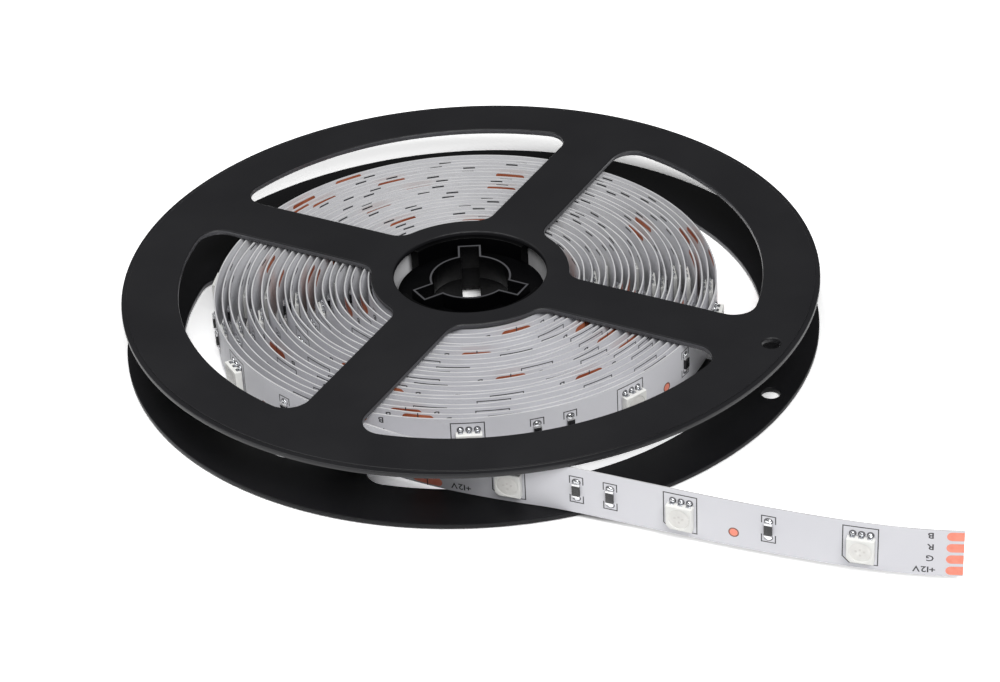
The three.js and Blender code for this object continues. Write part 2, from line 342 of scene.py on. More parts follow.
FLANGE = surface("flange_satin", (0.009, 0.009, 0.0108), (0.012, 0.012, 0.0138), 0.4, 0.48, 60,
                 bump=0.00002, bump_scale=5000, specular=0.35)
# Painted light: the flange's own black plastic, made lighter grey where light falls on the upright window
# walls and the arbor tube's flat rim.
WALL_PAINTED_LIGHT = surface("window_walls_and_tube_rim_painted_light", (0.06, 0.06, 0.066), (0.08, 0.08, 0.087), 0.3, 0.4, 90,
               bump=0.00002, bump_scale=5000)
# Painted shade: the lower half is the same plastic as the upper flange, made darker for the shade it lies
# in under the upper flange.
LOWER_FLANGE_SHADED = surface("lower_flange_painted_shade", (0.005, 0.005, 0.006), (0.007, 0.007, 0.0083), 0.42, 0.5, 60,
                       bump=0.00002, bump_scale=5000, specular=0.22)
# Painted shade: the hub is the same plastic as the flange, made near black for the shade deep in its
# recess.
HUB_SHADED = surface("hub_painted_shade", (0.0008, 0.0008, 0.001), (0.0016, 0.0016, 0.002), 0.35, 0.45, 120,
              bump=0.00001, bump_scale=2500, specular=0.1)
MASK = surface("strip_mask", (0.68, 0.68, 0.72), (0.73, 0.73, 0.765), 0.32, 0.42, 40,
               bump=0.00001, bump_scale=1500)
BACKING = surface("strip_backing", (0.74, 0.74, 0.76), (0.81, 0.81, 0.825), 0.5, 0.62, 60,
                  bump=0.00002, bump_scale=3000)
CUT_EDGE = surface("strip_edge", (0.48, 0.48, 0.49), (0.62, 0.62, 0.63), 0.45, 0.6, 150,
                   bump=0.00002, bump_scale=4000)
COPPER_BARE = surface("copper_bare", (0.93, 0.27, 0.18), (0.98, 0.33, 0.235), 0.4, 0.5, 900,
                      bump=0.00001, bump_scale=5000)
# Painted shade: the same copper as the bare pads, made darker for the pads in the roll and on the strip's
# back, where the turns shade them.
COPPER_SHADED = surface("copper_painted_shade", (0.30, 0.06, 0.02), (0.62, 0.20, 0.10), 0.35, 0.5, 130,
                 bump=0.00001, bump_scale=5000, metallic=0.2)
# Painted shadow: a dark brown ring round each test dot.
DOT_SHADOW = surface("dot_painted_shadow", (0.16, 0.05, 0.03), (0.22, 0.08, 0.05), 0.4, 0.5, 900)
INK_AND_GAP_SHADOW = surface("legend_ink_and_painted_shadow", (0.02, 0.02, 0.023), (0.05, 0.05, 0.056), 0.5, 0.65, 1500)
SOLDER = surface("solder", (0.42, 0.43, 0.45), (0.78, 0.79, 0.81), 0.12, 0.26, 1600,
                 bump=0.00006, bump_scale=3500, metallic=1.0)
FLUX = surface("flux_rim", (0.03, 0.03, 0.035), (0.16, 0.16, 0.17), 0.3, 0.5, 2600,
               bump=0.00002, bump_scale=6000)
HOUSING = surface("light_housing", (0.79, 0.79, 0.765), (0.85, 0.85, 0.82), 0.3, 0.4, 600,
                  bump=0.00001, bump_scale=5000)
LENS = surface("light_resin", (0.74, 0.73, 0.70), (0.83, 0.82, 0.79), 0.2, 0.28, 700, coat=0.2)
DIE = surface("light_die", (0.60, 0.58, 0.56), (0.68, 0.66, 0.63), 0.3, 0.4, 2500)
CHIP = surface("resistor_glaze", (0.008, 0.008, 0.009), (0.016, 0.016, 0.018), 0.18, 0.3, 1500)
CHIP_END = surface("resistor_end", (0.62, 0.62, 0.63), (0.8, 0.8, 0.81), 0.22, 0.34, 1500,
                   bump=0.00002, bump_scale=4000, metallic=0.7)

LIGHT_FINISHES = (HOUSING, LENS, DIE, SOLDER, FLUX)
ON_HOUSING, ON_LENS, ON_DIE, ON_LEG_SOLDER, ON_LEG_FLUX = range(5)
RESISTOR_FINISHES = (CHIP, CHIP_END, SOLDER, FLUX)
ON_CHIP, ON_CHIP_END, ON_CHIP_SOLDER, ON_CHIP_FLUX = range(4)
PAD_FINISHES = (COPPER_BARE, COPPER_SHADED, DOT_SHADOW)
ON_BARE, ON_SHADED_COPPER, ON_DOT_SHADOW = range(3)
RIBBON_FINISHES = (MASK, BACKING, CUT_EDGE)
ON_MASK, ON_BACKING, ON_CUT_EDGE = range(3)


# Plane outlines


def polar(radius, degrees):
    angle = math.radians(degrees)
    return np.array([radius * math.cos(angle), radius * math.sin(angle)])


def circle(radius, sides, centre=(0, 0)):
    return [polar(radius, 360 * index / sides) + centre for index in range(sides)]


def arc(centre, radius, start, end, steps):
    return [polar(radius, start + (end - start) * step / steps) + centre for step in range(steps + 1)]


def turned_about(points, degrees):
    angle = math.radians(degrees)
    turn = np.array([[math.cos(angle), -math.sin(angle)], [math.sin(angle), math.cos(angle)]])
    return [turn @ point for point in points]


def inset_outline(outline, distance):
    """A closed outline moved to its left by distance: inwards if it runs counter-clockwise."""
    points = np.asarray(outline, float)
    before = points - np.roll(points, 1, axis=0)
    after = np.roll(points, -1, axis=0) - points
    before /= np.linalg.norm(before, axis=1)[:, None]
    after /= np.linalg.norm(after, axis=1)[:, None]
    normal_before = np.stack([-before[:, 1], before[:, 0]], axis=1)
    normal_after = np.stack([-after[:, 1], after[:, 0]], axis=1)
    bisector = normal_before + normal_after
    bisector /= np.linalg.norm(bisector, axis=1)[:, None]
    stretch = 1 / np.clip((bisector * normal_before).sum(axis=1), SHARPEST_MITRE, 1)
    return points + bisector * (distance * stretch)[:, None]


# Meshes. A part is (vertices, faces, number of the finish of each face).


def shade_by_angle(mesh, degrees):
    mesh.polygons.foreach_set("use_smooth", [True] * len(mesh.polygons))
    mesh.set_sharp_from_angle(angle=math.radians(degrees))


def flatten_level_faces(mesh):
    """Flat shading on the level faces, so that the bevels beside them leave no gradient on them."""
    mesh.polygons.foreach_set("use_smooth", [abs(polygon.normal.z) < LEVEL for polygon in mesh.polygons])


def make_piece(name, part, materials, smooth_angle):
    """An object made of a part in millimetres in the reel's frame."""
    vertices, faces, finishes = part
    mesh = bpy.data.meshes.new(name)
    places = (np.asarray(vertices, float) + AXIS) * MM
    mesh.from_pydata(places.tolist(), [], faces)
    for material in materials:
        mesh.materials.append(material)
    mesh.polygons.foreach_set("material_index", finishes)
    mesh.validate()
    piece = bpy.data.objects.new(name, mesh)
    bpy.context.collection.objects.link(piece)
    shade_by_angle(mesh, smooth_angle)
    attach(piece, "root")
    return piece


def join_parts(parts):
    vertices = []
    faces = []
    finishes = []
    count = 0
    for part_vertices, part_faces, part_finishes in parts:
        vertices.append(np.asarray(part_vertices, float))
        faces.extend([tuple(index + count for index in face) for face in part_faces])
        finishes.extend(part_finishes)
        count += len(part_vertices)
    return np.concatenate(vertices), faces, finishes


def painted(part, finish):
    vertices, faces, _ = part
    return vertices, faces, [finish] * len(faces)


def moved(part, right=0.0, up=0.0, out=0.0):
    vertices, faces, finishes = part
    return np.asarray(vertices, float) + (right, up, out), faces, finishes


def mirrored(part, height):
    """The same part turned upside down as in a mirror at mid height."""
    vertices, faces, finishes = part
    flipped = [(x, y, height - z) for x, y, z in vertices]
    return flipped, [tuple(reversed(face)) for face in faces], finishes


def bevel_profile(bottom, top, bevel, steps):
    """(inset, height) pairs from the bottom face's edge to the top face's edge."""
    angles = [math.pi / 2 * step / steps for step in range(steps + 1)]
    lower = [(bevel * (1 - math.sin(angle)), bottom + bevel * (1 - math.cos(angle))) for angle in angles]
    upper = [(bevel * (1 - math.cos(angle)), top - bevel * (1 - math.sin(angle))) for angle in angles]
    return lower + upper


def plate(outer, holes, bottom, top, outer_profile=None, hole_bevel=EDGE_BEVEL, bevel=EDGE_BEVEL,
          steps=BEVEL_STEPS):
    """A flat plate with bevelled edges. Its outline runs counter-clockwise and its holes run clockwise."""
    vertices = []
    faces = []
    bottom_loops = []
    top_loops = []
    loops = [(outer, outer_profile or bevel_profile(bottom, top, bevel, steps))]
    loops += [(hole, bevel_profile(bottom, top, hole_bevel, steps)) for hole in holes]
    for outline, profile in loops:
        count = len(outline)
        first = len(vertices)
        for inset, height in profile:
            for x, y in inset_outline(outline, inset):
                vertices.append((x, y, height))
        for row in range(len(profile) - 1):
            for index in range(count):
                following = (index + 1) % count
                a = first + row * count + index
                b = first + row * count + following
                faces.append((a, b, b + count, a + count))
        bottom_loops.append(list(range(first, first + count)))
        last = first + (len(profile) - 1) * count
        top_loops.append(list(range(last, last + count)))
    for loops_of_face, upwards in ((bottom_loops, False), (top_loops, True)):
        flat = [index for loop in loops_of_face for index in loop]
        polygons = [[Vector((vertices[index][0], vertices[index][1], 0)) for index in loop]
                    for loop in loops_of_face]
        for triangle in tessellate_polygon(polygons):
            corners = [flat[index] for index in triangle]
            a, b, c = (np.array(vertices[corner][:2]) for corner in corners)
            turns_left = np.cross(b - a, c - a) > 0
            faces.append(tuple(corners if turns_left == upwards else reversed(corners)))
    return vertices, faces, [0] * len(faces)


def block(width, height, low, high, bevel):
    x = width / 2
    y = height / 2
    outline = [(x, -y), (x, y), (-x, y), (-x, -y)]
    return plate(outline, [], low, high, bevel=bevel, steps=SMALL_BEVEL_STEPS)


def dome(width, height, rise, sides, rings):
    """A low dome with a closed underside, as solder or flux lies."""
    vertices = []
    for ring in range(rings):
        angle = math.pi / 2 * ring / rings
        for side in range(sides):
            turn = 2 * math.pi * side / sides
            vertices.append((width / 2 * math.cos(angle) * math.cos(turn),
                             height / 2 * math.cos(angle) * math.sin(turn), rise * math.sin(angle)))
    vertices.append((0, 0, rise))
    faces = []
    for ring in range(rings - 1):
        for side in range(sides):
            following = (side + 1) % sides
            a = ring * sides
            faces.append((a + side, a + following, a + sides + following, a + sides + side))
    top = (rings - 1) * sides
    faces += [(top + side, top + (side + 1) % sides, top + sides) for side in range(sides)]
    faces.append(tuple(reversed(range(sides))))
    return vertices, faces, [0] * len(faces)


def disc(radius, sides, out, rise):
    """A round face, raised in the middle."""
    vertices = [(0, 0, out + rise)]
    for share in (0.5, 1.0):
        for x, y in circle(radius * share, sides):
            vertices.append((x, y, out + rise * (1 - share ** 2)))
    faces = [(0, 1 + side, 1 + (side + 1) % sides) for side in range(sides)]
    for side in range(sides):
        following = (side + 1) % sides
        faces.append((1 + side, 1 + sides + side, 1 + sides + following, 1 + following))
    return vertices, faces, [0] * len(faces)


# Reel halves


def window_outline():
    half = SPOKE_WIDTH / 2
    following = 360 / SPOKE_COUNT
    outer_at = WINDOW_OUTER_RADIUS - WINDOW_OUTER_CORNER
    inner_at = WINDOW_INNER_RADIUS + WINDOW_INNER_CORNER
    outer_angle = math.degrees(math.asin((half + WINDOW_OUTER_CORNER) / outer_at))
    inner_angle = math.degrees(math.asin((half + WINDOW_INNER_CORNER) / inner_at))
    return [
        *arc(polar(outer_at, outer_angle), WINDOW_OUTER_CORNER, -90, outer_angle, OUTER_CORNER_STEPS),
        *arc((0, 0), WINDOW_OUTER_RADIUS, outer_angle, following - outer_angle, OUTER_ARC_STEPS)[1:-1],
        *arc(polar(outer_at, following - outer_angle), WINDOW_OUTER_CORNER, following - outer_angle,
             following + 90, OUTER_CORNER_STEPS),
        *arc(polar(inner_at, following - inner_angle), WINDOW_INNER_CORNER, following + 90,
             180 + following - inner_angle, INNER_CORNER_STEPS),
        *arc((0, 0), WINDOW_INNER_RADIUS, following - inner_angle, inner_angle, INNER_ARC_STEPS)[1:-1],
        *arc(polar(inner_at, inner_angle), WINDOW_INNER_CORNER, 180 + inner_angle, 270, INNER_CORNER_STEPS),
    ]


def flange_part():
    """The upper flange: bevelled windows and holes, and a step round its rim."""
    bottom = REEL_HEIGHT - FLANGE_THICKNESS
    step_height = REEL_HEIGHT - RIM_STEP_DEPTH
    middle = EDGE_BEVEL * RIM_BEVEL_MIDDLE
    rim = [
        (EDGE_BEVEL, bottom),
        (middle, bottom + middle),
        (0, bottom + EDGE_BEVEL),
        (0, step_height - EDGE_BEVEL),
        (middle, step_height - middle),
        (EDGE_BEVEL, step_height),
        (RIM_STEP_WIDTH - RIM_STEP_FILLET, step_height),
        (RIM_STEP_WIDTH, step_height + RIM_STEP_FILLET),
        (RIM_STEP_WIDTH, REEL_HEIGHT - RIM_STEP_TOP_DROP),
        (RIM_STEP_WIDTH + RIM_STEP_TOP_MIDDLE, REEL_HEIGHT - RIM_STEP_TOP_MIDDLE),
        (RIM_STEP_WIDTH + RIM_STEP_TOP_WIDTH, REEL_HEIGHT),
    ]
    holes = []
    for spoke in range(SPOKE_COUNT):
        window = turned_about(window_outline(), SPOKE_AZIMUTH + spoke * 360 / SPOKE_COUNT)
        holes.append(window[::-1])
    tape_hole = polar(TAPE_HOLE_AT, SPOKE_AZIMUTH + TAPE_HOLE_SPOKE * 360 / SPOKE_COUNT)
    holes.append(circle(TAPE_HOLE_RADIUS, TAPE_HOLE_SIDES, tape_hole)[::-1])
    holes.append(circle(HUB_HOLE_RADIUS, HUB_SIDES)[::-1])
    return plate(circle(REEL_RADIUS, RIM_SIDES), holes, bottom, REEL_HEIGHT, rim, WINDOW_BEVEL)


def keyed_outline(offset):
    """The arbor hole with its key slots, grown by an offset, counter-clockwise."""
    radius = ARBOR_RADIUS + offset
    half = KEY_WIDTH / 2 + offset
    reach = KEY_REACH + offset
    spread = math.degrees(math.asin(half / radius))
    root = radius * math.cos(math.radians(spread))
    slot = [np.array(corner) for corner in ((root, -half), (reach, -half), (reach, half), (root, half))]
    between = 360 / KEY_COUNT
    points = []
    for key in range(KEY_COUNT):
        azimuth = KEY_AZIMUTH + key * between
        points += turned_about(slot, azimuth)
        points += arc((0, 0), radius, azimuth + spread, azimuth + between - spread, KEY_ARC_STEPS)[1:-1]
    return points


def drum_arc(gap_before, gap_after):
    """The drum wall of the upper half from one gap to the next."""
    start = gap_before + DRUM_GAP_HALF_ANGLE
    end = gap_after - DRUM_GAP_HALF_ANGLE
    outline = [*arc((0, 0), DRUM_OUTER_RADIUS, start, end, DRUM_ARC_STEPS),
               *arc((0, 0), DRUM_INNER_RADIUS, end, start, DRUM_ARC_STEPS)]
    return plate(outline, [], MID_HEIGHT, REEL_HEIGHT - DRUM_RECESS, bevel=DRUM_BEVEL)


def hub_part():
    """The drum wall's two arcs, the web and the keyed arbor tube of the upper half."""
    web_top = REEL_HEIGHT - WEB_TOP_DEPTH
    web = circle(DRUM_INNER_RADIUS + ARBOR_WALL, HUB_SIDES)
    web_hole = keyed_outline(ARBOR_WALL * WEB_HOLE_IN_WALL)[::-1]
    tube_top = REEL_HEIGHT - ARBOR_RECESS
    right_gap, left_gap = DRUM_GAP_AZIMUTHS
    return join_parts([
        drum_arc(right_gap, left_gap),
        drum_arc(left_gap, right_gap + 360),
        plate(web, [web_hole], web_top - WEB_THICKNESS, web_top, bevel=WEB_BEVEL,
              hole_bevel=WEB_HOLE_BEVEL),
        plate(keyed_outline(ARBOR_WALL), [keyed_outline(0)[::-1]], MID_HEIGHT, tube_top, bevel=TUBE_BEVEL,
              hole_bevel=TUBE_BEVEL),
    ])


def steepness(vertices, face):
    """0 for a flat face and 1 for an upright one, by Newell's rule."""
    points = np.array([vertices[index] for index in face])
    following = np.roll(points, -1, axis=0)
    normal = np.cross(points, following).sum(axis=0)
    return 1 - abs(normal[2]) / np.linalg.norm(normal)


def with_window_walls(part):
    """The flange with the upright faces of its windows in a lighter grey than the flange: painted light on
    the window walls.
    """
    vertices, faces, _ = part
    reach = np.linalg.norm(np.asarray(vertices)[:, :2], axis=1)
    finishes = []
    for face in faces:
        middle = reach[list(face)].mean()
        in_window = WINDOW_INNER_RADIUS - WALL_MARGIN < middle < WINDOW_OUTER_RADIUS + WALL_MARGIN
        finishes.append(ON_PAINTED_LIGHT if in_window and steepness(vertices, face) > WALL_STEEPNESS else ON_FLANGE)
    return vertices, faces, finishes


def with_tube_rim(part):
    """The hub with the flat top of its arbor tube in the lighter grey: a painted highlight on the tube's
    rim.
    """
    vertices, faces, _ = part
    heights = np.asarray(vertices)[:, 2]
    tube_top = REEL_HEIGHT - ARBOR_RECESS
    # The tube's flat top gets the lighter grey: painted highlight.
    finishes = [ON_PAINTED_LIGHT if math.isclose(heights[list(face)].min(), tube_top) else ON_SHADED_HUB for face in faces]
    return vertices, faces, finishes


def make_reel_half(name, node, upper):
    part = join_parts([with_window_walls(flange_part()), with_tube_rim(hub_part())])
    if not upper:
        part = mirrored(part, REEL_HEIGHT)
    # The lower half gets the darker copy of the flange plastic: painted shade.
    flange = FLANGE if upper else LOWER_FLANGE_SHADED
    piece = make_piece(name, part, (flange, HUB_SHADED, WALL_PAINTED_LIGHT), REEL_SMOOTH_ANGLE)
    flatten_level_faces(piece.data)
    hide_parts(node)


# Strip's middle line


def waves_at(waves, place):
    return sum(height * np.sin(rate * place + phase) for height, rate, phase in waves)


def cubic(start, leaving, arriving, end):
    t = np.linspace(0, 1, TAIL_STEPS)[:, None]
    rest = 1 - t
    return rest ** 3 * start + 3 * rest ** 2 * t * leaving + 3 * rest * t ** 2 * arriving + t ** 3 * end


def tail_points():
    """The free end from the winding outwards, in two bends."""
    slack = WINDING_SLACK * math.cos(math.radians(DEPARTURE_AZIMUTH - SLACK_AZIMUTH))
    start = polar(WINDING_RADIUS + slack, DEPARTURE_AZIMUTH)
    middle = np.array(TAIL_MIDDLE, float)
    end = np.array(TAIL_END, float)
    first = cubic(start, start + polar(TAIL_LEAVING_REACH, DEPARTURE_AZIMUTH + 90),
                  middle - polar(TAIL_MIDDLE_REACH_BACK, TAIL_MIDDLE_HEADING), middle)
    second = cubic(middle, middle + polar(TAIL_MIDDLE_REACH_AHEAD, TAIL_MIDDLE_HEADING),
                   end - polar(TAIL_ARRIVING_REACH, TAIL_END_HEADING), end)
    return np.concatenate([first, second[1:]])


def length_of(points):
    return np.linalg.norm(np.diff(points, axis=0), axis=1).sum()


def unevenness(turned_back):
    """How far the hand-wound turns stray from the plain spiral, outwards, in millimetres."""
    fade = np.clip(turned_back / STRAYING_FADE, 0, 1)
    return fade * waves_at(STRAYING, np.radians(turned_back))


def middle_line():
    """Points of the strip's middle line from its free end inwards, and the distance run at each."""
    tail = tail_points()
    inner_radius = DRUM_OUTER_RADIUS + WINDING_CLEARANCE
    wound_length = STRIP_LENGTH - length_of(tail)
    pitch = math.pi * (WINDING_RADIUS ** 2 - inner_radius ** 2) / wound_length
    turns = (WINDING_RADIUS - inner_radius) / pitch
    turned_back = np.arange(TURN_STEP, turns * 360, TURN_STEP)
    azimuth = np.radians(DEPARTURE_AZIMUTH - turned_back)
    plain = WINDING_RADIUS - pitch * turned_back / 360
    share = (plain - inner_radius) / (WINDING_RADIUS - inner_radius)
    radius = plain + WINDING_SLACK * share ** 2 * np.cos(azimuth - math.radians(SLACK_AZIMUTH))
    radius = radius + unevenness(turned_back)
    wound = np.stack([radius * np.cos(azimuth), radius * np.sin(azimuth)], axis=1)
    points = np.concatenate([tail[::-1], wound])
    run = np.concatenate([[0], np.cumsum(np.linalg.norm(np.diff(points, axis=0), axis=1))])
    return points, run, length_of(tail)


LINE, RUN, TAIL_LENGTH = middle_line()
OPEN_LENGTH = TAIL_LENGTH + OPEN_TURNS * 2 * math.pi * WINDING_RADIUS
JOINT_LIGHT = FIRST_LIGHT_AT + LIGHTS_BEFORE_JOINT * LIGHT_PITCH - JOINT_OVERLAP


def line_at(distance):
    """Place, direction inwards along the strip and outward normal at distances from the free end."""
    distance = np.asarray(distance, float)

    def place(at):
        at = np.clip(at, 0, RUN[-1])
        return np.stack([np.interp(at, RUN, LINE[:, 0]), np.interp(at, RUN, LINE[:, 1])], axis=-1)

    along = place(distance + TANGENT_REACH) - place(distance - TANGENT_REACH)
    along /= np.linalg.norm(along, axis=-1, keepdims=True)
    outward = np.stack([-along[..., 1], along[..., 0]], axis=-1)
    return place(distance), along, outward


def lift_at(distance):
    """Small rise and fall of the turns between the flanges, none on the free end."""
    distance = np.asarray(distance, float)
    return np.clip((distance - TAIL_LENGTH) / LIFTING_FADE, 0, 1) * waves_at(LIFTING, distance)


def on_strip(distance, across, out):
    """Points at distances from the free end, heights above the strip's middle line and distances out from
    its outer face. Minus the thickness is its back."""
    place, _, outward = line_at(distance)
    flat = place + outward * (STRIP_THICKNESS / 2 + np.asarray(out))[..., None]
    height = MID_HEIGHT + np.asarray(across) + lift_at(distance)
    return np.concatenate([flat, height[..., None]], axis=-1)


def make_strip():
    """The ribbon: outer face, back and two cut edges, each its own finish."""
    count = int(RUN[-1] / STATION_STEP)
    distance = np.linspace(0, RUN[-1], count)
    side = STRIP_WIDTH / 2
    side_in = side - STRIP_BEVEL
    back = -STRIP_THICKNESS
    section = [(-side_in, 0), (side_in, 0), (side, -STRIP_BEVEL), (side, back + STRIP_BEVEL),
               (side_in, back), (-side_in, back), (-side, back + STRIP_BEVEL), (-side, -STRIP_BEVEL)]
    section_finishes = [ON_MASK, ON_CUT_EDGE, ON_CUT_EDGE, ON_CUT_EDGE,
                        ON_BACKING, ON_CUT_EDGE, ON_CUT_EDGE, ON_CUT_EDGE]
    rows = [on_strip(distance, np.full(count, across), np.full(count, float(out)))
            for across, out in section]
    corners = len(section)
    vertices = np.stack(rows, axis=1).reshape(-1, 3)
    faces = []
    finishes = []
    for station in range(count - 1):
        for corner, finish in enumerate(section_finishes):
            a = station * corners + corner
            b = station * corners + (corner + 1) % corners
            faces.append((a, a + corners, b + corners, b))
            finishes.append(finish)
    faces.append(tuple(range(corners)))
    faces.append(tuple(reversed(range((count - 1) * corners, count * corners))))
    finishes += [ON_CUT_EDGE, ON_CUT_EDGE]
    part = (vertices, faces, finishes)
    piece = make_piece("strip_ribbon", part, RIBBON_FINISHES, STRIP_SMOOTH_ANGLE)
    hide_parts("led_strip")


# Places along the strip


def light_distances():
    """Where the lights are. At the soldered joint two lengths overlap, which shortens one gap."""
    before = FIRST_LIGHT_AT + LIGHT_PITCH * np.arange(LIGHTS_BEFORE_JOINT)
    after = np.arange(JOINT_LIGHT, RUN[-1] - LIGHT_PITCH / 2, LIGHT_PITCH)
    return np.concatenate([before, after])


def cut_starts():
    """The first light of each cut length: the lengths start anew at the soldered joint."""
    before = np.arange(FIRST_LIGHT_AT, JOINT_LIGHT - LIGHT_PITCH / 2, CUT_LENGTH)
    after = np.arange(JOINT_LIGHT, RUN[-1] - CUT_LENGTH / 2, CUT_LENGTH)
    return before, after


def resistor_distances():
    before, after = cut_starts()
    last_before_joint = FIRST_LIGHT_AT + (LIGHTS_BEFORE_JOINT - 1) * LIGHT_PITCH
    found = [start + offset for start in before for offset in RESISTORS_AFTER_FIRST_LIGHT
             if start + offset < last_before_joint]
    found += [start + offset for start in after for offset in RESISTORS_AFTER_FIRST_LIGHT]
    return [distance for distance in found if distance < RUN[-1] - INNER_END_MARGIN]


def cut_distances():
    """Where the lengths can be cut apart. One cut's print lies a little further along than the rest."""
    before, after = cut_starts()
    half = LIGHT_PITCH / 2
    cuts = [start - half for start in [*before[1:], *after]]
    return [cut + CUT_SHIFT if abs(cut - SHIFTED_CUT_NEAR) < half else cut for cut in cuts]


# Parts set on the strip. Their own axes: right as seen from outside with the strip upright, up, and out.


def seated(distance, part, finish):
    """A rigid part standing on the outer face at a distance from the free end."""
    vertices, faces, _ = part
    points = np.asarray(vertices, float)
    place, along, outward = line_at(distance)
    flat = place - along * points[:, :1] + outward * (STRIP_THICKNESS / 2 + points[:, 2:])
    height = MID_HEIGHT + float(lift_at(distance)) + points[:, 1:2]
    return np.concatenate([flat, height], axis=1), faces, [finish] * len(faces)


def laid(distance, points, out):
    """Flat points (right, up) that follow the strip's bend, out from its outer face."""
    points = np.asarray(points, float)
    return on_strip(distance - points[:, 0], points[:, 1], np.full(len(points), float(out)))


def soldered(distance, right, up, solder, flux, fineness, finishes):
    """A dome of solder and the dark rim of flux round it."""
    solder_sides, solder_rings, flux_sides = fineness
    on_solder, on_flux = finishes
    solder_dome = dome(*solder, solder_sides, solder_rings)
    flux_dome = dome(*flux, flux_sides, FLUX_RINGS)
    return [seated(distance, moved(solder_dome, right, up, SOLDER_OUT), on_solder),
            seated(distance, moved(flux_dome, right, up, FLUX_OUT), on_flux)]


def light_part(distance):
    """A square light in full: housing with a round resin window, dies, legs and their solder."""
    half = LIGHT_SIZE / 2
    cut = LIGHT_CORNER - half
    outline = [(half, -half), (half, half), (-half, half), (-half, cut), (cut, -half)]
    lens_hole = circle(LENS_HOLE_RADIUS, LENS_HOLE_SIDES)[::-1]
    housing = plate(outline, [lens_hole], LIGHT_BASE, LIGHT_HEIGHT, bevel=LIGHT_BEVEL,
                    hole_bevel=LENS_HOLE_BEVEL, steps=SMALL_BEVEL_STEPS)
    lens = disc(LENS_RADIUS, LENS_SIDES, LIGHT_HEIGHT - LENS_DEPTH, LENS_RISE)
    parts = [seated(distance, moved(housing, up=LIGHT_UP), ON_HOUSING),
             seated(distance, moved(lens, up=LIGHT_UP), ON_LENS)]
    for right, up in DIE_PLACES:
        die = moved(block(*DIE_BLOCK), right, up + LIGHT_UP, LIGHT_HEIGHT - DIE_DEPTH)
        parts.append(seated(distance, die, ON_DIE))
    for side in (-1, 1):
        up = LIGHT_UP + side * half
        for place in (-1, 0, 1):
            right = place * LEG_PITCH
            leg = moved(block(*LEG_BLOCK), right, up + side * LEG_OUTSIDE)
            parts.append(seated(distance, leg, ON_LEG_SOLDER))
            parts += soldered(distance, right, up + side * LEG_SOLDER_OUTSIDE, LEG_SOLDER, LEG_FLUX,
                              OPEN_FINENESS, (ON_LEG_SOLDER, ON_LEG_FLUX))
    return join_parts(parts)


def wound_light_part(distance):
    """The same light in the roll, lower, where only its upper side and legs show."""
    parts = [seated(distance, moved(block(*WOUND_LIGHT), up=LIGHT_UP), ON_HOUSING)]
    up = LIGHT_UP + LIGHT_SIZE / 2 + LEG_SOLDER_OUTSIDE
    for place in (-1, 0, 1):
        parts += soldered(distance, place * LEG_PITCH, up, LEG_SOLDER, LEG_FLUX, WOUND_FINENESS,
                          (ON_LEG_SOLDER, ON_LEG_FLUX))
    return join_parts(parts)


def resistor_part(distance):
    """A flat chip: dark glaze between two plated ends, each in its solder."""
    parts = [seated(distance, moved(block(*CHIP_BLOCK), up=RESISTOR_UP), ON_CHIP)]
    for side in (-1, 1):
        end = moved(block(*CHIP_END_BLOCK), up=RESISTOR_UP + side * CHIP_END_AT)
        parts.append(seated(distance, end, ON_CHIP_END))
        parts += soldered(distance, 0, RESISTOR_UP + side * CHIP_SOLDER_AT, CHIP_SOLDER, CHIP_FLUX,
                          CHIP_FINENESS, (ON_CHIP_SOLDER, ON_CHIP_FLUX))
    return join_parts(parts)


def make_lights():
    distances = light_distances()
    is_open = distances < OPEN_LENGTH
    for number, distance in enumerate(distances[is_open], 1):
        piece = make_piece(f"light_{number:02d}", light_part(distance), LIGHT_FINISHES,
                           STRIP_SMOOTH_ANGLE)
        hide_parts(f"led_{number:02d}")
    wound = join_parts([wound_light_part(distance) for distance in distances[~is_open]])
    make_piece("wound_lights", wound, LIGHT_FINISHES, STRIP_SMOOTH_ANGLE)


def make_resistors():
    distances = resistor_distances()
    open_ones = [distance for distance in distances if distance < OPEN_LENGTH]
    for number, distance in enumerate(open_ones, 1):
        piece = make_piece(f"chip_{number:02d}", resistor_part(distance), RESISTOR_FINISHES,
                           STRIP_SMOOTH_ANGLE)
        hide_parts(f"resistor_{number:02d}")
    wound = join_parts([resistor_part(distance) for distance in distances if distance >= OPEN_LENGTH])
    make_piece("wound_chips", wound, RESISTOR_FINISHES, STRIP_SMOOTH_ANGLE)


# Printed legend, and painted shadows on the backs in the roll


def stroke(distance, start, end, out=LEGEND_OUT, line=LEGEND_LINE):
    """A straight printed line between two (right, up) points, cut up so that it follows the bend."""
    start = np.array(start, float)
    end = np.array(end, float)
    direction = (end - start) / np.linalg.norm(end - start)
    side = np.array([-direction[1], direction[0]]) * line / 2
    steps = max(1, int(abs(end[0] - start[0]) / LEGEND_STEP))
    share = np.linspace(0, 1, steps + 1)[:, None]
    middle = (start - direction * line / 2) * (1 - share) + (end + direction * line / 2) * share
    vertices = laid(distance, np.concatenate([middle + side, middle - side]), out)
    faces = [(index, steps + 1 + index, steps + 2 + index, index + 1) for index in range(steps)]
    return vertices, faces, [0] * steps


def path_strokes(distance, points):
    return [stroke(distance, start, end) for start, end in zip(points, points[1:])]


def bracket_strokes(distance, left, right, edge, arm):
    """A line across at the height edge, with an arm down from each end, or up where arm is negative."""
    return path_strokes(distance, [(left, edge - arm), (left, edge), (right, edge), (right, edge - arm)])


